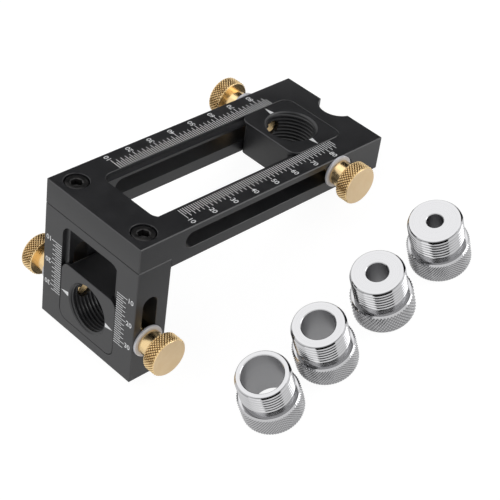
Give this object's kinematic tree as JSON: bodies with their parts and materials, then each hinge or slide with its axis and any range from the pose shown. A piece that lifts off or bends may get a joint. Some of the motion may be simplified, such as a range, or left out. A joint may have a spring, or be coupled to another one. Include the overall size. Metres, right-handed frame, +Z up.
{
  "type": "cabinet hardware drilling jig",
  "caption": "L-shaped drilling jig with sliding threaded blocks, brass thumb screws, engraved scales and a row of screw-in drill guide bushings.",
  "frame": {"origin": "centre of the set's base on the bench: the middle of the bounding box, at its lowest face", "axes": "+Z up from the bench, +X from the leg towards the long frame's free end, +Y away from the row of bushings. The jig stands as pictured, on the leg's foot and the frame's free end."},
  "size_m": [0.1326, 0.1198, 0.0601],
  "materials": {
    "black_anodised": "black anodised, fine blasted satin, white laser marks",
    "black_oxide": "black oxide, slightly oily",
    "brass": "turned, heads diamond knurled",
    "nylon": "natural nylon, matte and slightly translucent",
    "steel": "bright turned steel, heads diamond knurled"
  },
  "bodies": {
    "jig": {"main_frame": "black_anodised", "leg_frame": "black_anodised", "cap_screw_far": "black_oxide", "cap_screw_near": "black_oxide"},
    "face_block": {"face_block": "black_anodised"},
    "edge_block": {"edge_block": "black_anodised"},
    "washer_face_far": {"washer_face_far": "nylon"},
    "thumb_screw_face_far": {"thumb_screw_face_far": "brass"},
    "washer_face_near": {"washer_face_near": "nylon"},
    "thumb_screw_face_near": {"thumb_screw_face_near": "brass"},
    "washer_edge_far": {"washer_edge_far": "nylon"},
    "thumb_screw_edge_far": {"thumb_screw_edge_far": "brass"},
    "washer_edge_near": {"washer_edge_near": "nylon"},
    "thumb_screw_edge_near": {"thumb_screw_edge_near": "brass"},
    "bushing_15": {"bushing_15": "steel"},
    "bushing_12": {"bushing_12": "steel"},
    "bushing_8": {"bushing_8": "steel"},
    "bushing_6": {"bushing_6": "steel"}
  },
  "joints": [
    {"name": "face_block_slide", "type": "slide", "parent": "jig", "child": "face_block", "axis": [0.9178, 0, -0.3971], "range_m": [-0.0667, 0]},
    {"name": "edge_block_slide", "type": "slide", "parent": "jig", "child": "edge_block", "axis": [0.3971, 0, 0.9178], "range_m": [0, 0.0157]},
    {"name": "washer_face_far_slide", "type": "slide", "parent": "face_block", "child": "washer_face_far", "axis": [0, 1, 0], "range_m": [0, 0.0015]},
    {"name": "thumb_screw_face_far_turn", "type": "hinge", "parent": "washer_face_far", "child": "thumb_screw_face_far", "pos_m": [0.04231, 0.048, 0.01692], "axis": [0, 1, 0], "range_deg": [0, 541]},
    {"name": "washer_face_near_slide", "type": "slide", "parent": "face_block", "child": "washer_face_near", "axis": [0, -1, 0], "range_m": [0, 0.0015]},
    {"name": "thumb_screw_face_near_turn", "type": "hinge", "parent": "washer_face_near", "child": "thumb_screw_face_near", "pos_m": [0.04231, -0.002, 0.01692], "axis": [0, -1, 0], "range_deg": [0, 541]},
    {"name": "washer_edge_far_slide", "type": "slide", "parent": "edge_block", "child": "washer_edge_far", "axis": [0, 1, 0], "range_m": [0, 0.0015]},
    {"name": "thumb_screw_edge_far_turn", "type": "hinge", "parent": "washer_edge_far", "child": "thumb_screw_edge_far", "pos_m": [-0.05356, 0.048, 0.01858], "axis": [0, 1, 0], "range_deg": [0, 541]},
    {"name": "washer_edge_near_slide", "type": "slide", "parent": "edge_block", "child": "washer_edge_near", "axis": [0, -1, 0], "range_m": [0, 0.0015]},
    {"name": "thumb_screw_edge_near_turn", "type": "hinge", "parent": "washer_edge_near", "child": "thumb_screw_edge_near", "pos_m": [-0.05356, -0.002, 0.01858], "axis": [0, -1, 0], "range_deg": [0, 541]},
    {"name": "bushing_15_lift", "type": "slide", "parent": "jig", "child": "bushing_15", "axis": [0, 0, 1], "range_m": [0, 0.03]},
    {"name": "bushing_12_lift", "type": "slide", "parent": "jig", "child": "bushing_12", "axis": [0, 0, 1], "range_m": [0, 0.03]},
    {"name": "bushing_8_lift", "type": "slide", "parent": "jig", "child": "bushing_8", "axis": [0, 0, 1], "range_m": [0, 0.03]},
    {"name": "bushing_6_lift", "type": "slide", "parent": "jig", "child": "bushing_6", "axis": [0, 0, 1], "range_m": [0, 0.03]}
  ],
  "couplings": [
    {"joint": "thumb_screw_face_far_turn", "follows": "washer_face_far_slide", "rad_per_m": 6283.2},
    {"joint": "thumb_screw_face_near_turn", "follows": "washer_face_near_slide", "rad_per_m": 6283.2},
    {"joint": "thumb_screw_edge_far_turn", "follows": "washer_edge_far_slide", "rad_per_m": 6283.2},
    {"joint": "thumb_screw_edge_near_turn", "follows": "washer_edge_near_slide", "rad_per_m": 6283.2}
  ]
}
